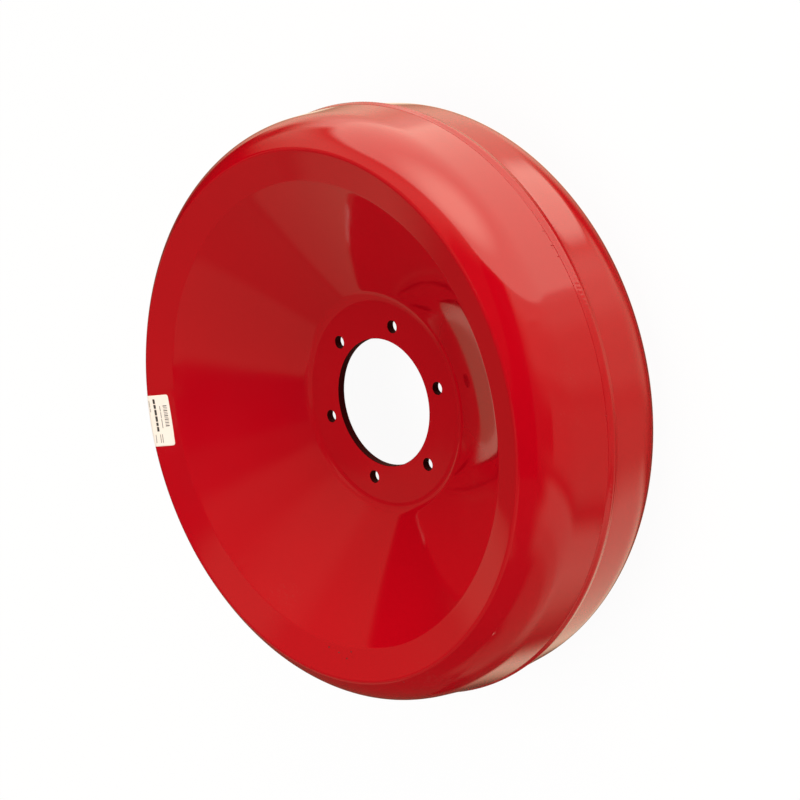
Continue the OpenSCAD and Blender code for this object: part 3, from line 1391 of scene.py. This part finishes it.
    def _ceiling(self, tree: Tree, right: Socket, up: Socket, back: Socket, light: Socket) -> Socket:
        """Hang a wide soft box overhead, brightest over its lamp.

        Args:
            tree: The world's tree.
            right: Direction's share to the right.
            up: Direction's share upwards.
            back: Direction's share towards the camera.
            light: The room's light so far.

        Returns:
            The light with the soft box in it.
        """
        above = add_node(tree, MATH, {0: up, 1: self.lowest_up}, operation="MAXIMUM")
        across, toward = (
            add_node(tree, MATH, {0: share, 1: above}, operation="DIVIDE") for share in (right, back)
        )
        spot = add_node(tree, "ShaderNodeCombineXYZ", {0: across, 1: toward})
        reach, lamp = (
            add_node(tree, VECTOR_MATH, {0: spot, 1: (*middle, 0.0)}, "Value", operation="DISTANCE")
            for middle in (self.ceiling_middle, self.lamp_middle)
        )
        past_side = add_node(tree, VECTOR_MATH, {0: spot, 1: self.ceiling_side}, "Value",
                             operation="DOT_PRODUCT")
        outer, inner = self.ceiling_edge
        inside = add_node(tree, MAP_RANGE, {
            "Value": reach, "From Min": self.ceiling_r + outer, "From Max": self.ceiling_r - inner,
        }, **SMOOTH)
        past_side = add_node(tree, MAP_RANGE, {
            "Value": past_side,
            "From Min": self.ceiling_side_reach - outer, "From Max": self.ceiling_side_reach + inner,
        }, **SMOOTH)
        inside = add_node(tree, MATH, {0: inside, 1: past_side}, operation="MULTIPLY")
        glow = add_node(tree, MAP_RANGE, {
            "Value": lamp, "From Min": self.lamp_edge[0], "From Max": self.lamp_edge[1],
            "To Min": self.ceiling_light, "To Max": self.ceiling_light + self.ceiling_glow,
        }, **SMOOTH)
        return add_node(tree, MIX, {0: inside, 2: light, 3: glow})

    def set_lamps(self, centre: Vector) -> None:
        """Hang the fill lamps round the wheel.

        Args:
            centre: Middle of the wheel.
        """
        for spec in self.lamps:
            offset = Vector(spec.direction).normalized() * spec.distance
            data = bpy.data.lights.new(spec.name, "AREA")
            data.shape = "SQUARE"
            data.size = spec.size
            data.energy = spec.level * (math.pi * spec.distance) ** 2
            lamp = bpy.data.objects.new(spec.name, data)
            lamp.location = centre + offset
            lamp.rotation_mode = "QUATERNION"
            lamp.rotation_quaternion = (-offset).to_track_quat("-Z", "Y")
            lamp.visible_camera = False
            lamp.visible_glossy = False
            bpy.context.scene.collection.objects.link(lamp)


# ------------------------------------------------------------------------ main


def polar(azimuth: float, radius: float, height: float) -> Corner:
    """Place a point by its azimuth.

    Args:
        azimuth: Azimuth from +X, in degrees.
        radius: Distance from the axis, in millimetres.
        height: Height over the middle plane, in millimetres.

    Returns:
        The point in the wheel's frame.
    """
    a = math.radians(azimuth)
    return (radius * MM * math.cos(a), radius * MM * math.sin(a), height * MM)


def attach(piece: Object, slot: str, *nodes: str) -> None:
    """Let a piece ride with the wheel and hide the CAD nodes it stands for.

    Args:
        piece: The finished piece.
        slot: The record's material slot; not used.
        *nodes: CAD nodes that it replaces.
    """
    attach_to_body(piece, BODY)
    if nodes:
        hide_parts(*nodes)
    log.info("%s is in place", piece.name)


def dress(piece: Object, material: Material) -> Object:
    """Give a piece its one material.

    Args:
        piece: The piece.
        material: Its finish.

    Returns:
        The same piece.
    """
    piece.data.materials.clear()
    piece.data.materials.append(material)
    return piece


def measured_section() -> tuple[SheetSection, BoltCircle]:
    """Read the wheel's main sizes from the frame.

    Returns:
        The shell's section and the bolt circle.
    """
    mounts = {mount["name"]: mount for mount in frame["record"]["mounts"]}
    bore, bolts = mounts["hub_bore"]["dims"], mounts["hub_bolts"]["dims"]
    section = SheetSection(
        wheel_r=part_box("tread_weld")[1].x - WELD_CROWN,
        rim_half_w=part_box("front_shell")[1].z + RIM_CROWN_LOSS,
        sheet=mounts["hub_bolts"]["pos_m"][2],
        bore_r=bore["r_mm"] * MM,
    )
    return section, BoltCircle(bolts["pcd_mm"] / 2 * MM, bolts["hole_r_mm"] * MM, int(bolts["count"]))


def main() -> None:
    """Build the studio and the wheel, piece by piece."""
    bpy.context.scene.view_settings.view_transform = "Standard"
    section, bolts = measured_section()

    studio = Studio()
    studio.set_camera()
    studio.set_room()
    studio.set_lamps((CAD_BOX[0] + CAD_BOX[1]) / 2)

    chips = tuple(polar(*chip) for chip in (
        (-106.3, 295.6, 105.5), (-103.3, 300.2, 107.0), (-102.2, 291.5, 104.1), (-109.9, 293.2, 104.7),
        (-103.9, 334.3, 108.6), (-106.8, 327.0, 112.6), (-75.4, 327.7, 112.4), (-85.3, 330.5, 111.2),
    ))
    cuts = {"bore_r": section.bore_r, "hole_r": bolts.hole_r, "holes": bolts.centres}
    enamel = SprayedEnamel(chips=chips, **cuts).make()
    plain_enamel = SprayedEnamel(name="sprayed_red_enamel_rear", **cuts).make()
    weld_enamel = SprayedEnamel(
        name="red_enamel_over_weld", peel_size=2.4 * MM, peel_height=0.02 * MM,
    ).make()

    front = PressedShell(Side.FRONT, section, bolts, dents=(
        Dent(163.3, 286.7, -0.8, 7, 4),
        Dent(157.0, 283.0, -0.4, 12, 4),
        Dent(7.3, 356.1, 0.5, 2.5, 2.5),
        Dent(-146.5, 282.2, 0.35, 3, 6),
        Dent(-136.2, 279.3, 0.35, 3, 6),
    ))
    attach(dress(front.build("front_pressed_shell"), enamel), "red_enamel", "front_shell")
    rear = PressedShell(Side.REAR, section, bolts, wave_seed=8, wave_height=0.15 * MM)
    attach(dress(rear.build("rear_pressed_shell"), plain_enamel), "red_enamel", "rear_shell")
    bead = TreadWeld(section).bead("tread_weld_bead", weld_enamel)
    attach(bead, "painted_weld", "tread_weld")

    spatter = WeldSpatter(section)
    for spec in (
        SpatterPatch("weld_spatter_upper", 19.0, 9.0, 3.0, 8, 90, 5),
        SpatterPatch("weld_spatter_side", -15.0, 3.0, 5.0, 5, 24, 9),
        SpatterPatch("weld_spatter_lower", -34.0, 12.0, 4.0, 9, 26, 14),
        SpatterPatch("weld_spatter_rear", 190.0, 30.0, -6.0, 6, 40, 21),
    ):
        attach(spatter.patch(spec, weld_enamel), "painted_weld")

    label = RimLabel(section)
    attach(dress(label.paper("label_paper"), CoatedLabelPaper().make()), "label_paper", "label")
    for ink, bars in bar_rows().items():
        finish = ThermalPrint(name=f"thermal_print_{ink.name.lower()}", colour=ink.value).make()
        piece = label.print_bars(f"label_bars_{ink.name.lower()}", bars)
        attach(dress(piece, finish), "label_paper")

    low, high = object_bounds()
    studio.set_floor(low.z)


if __name__ == "__main__":
    main()
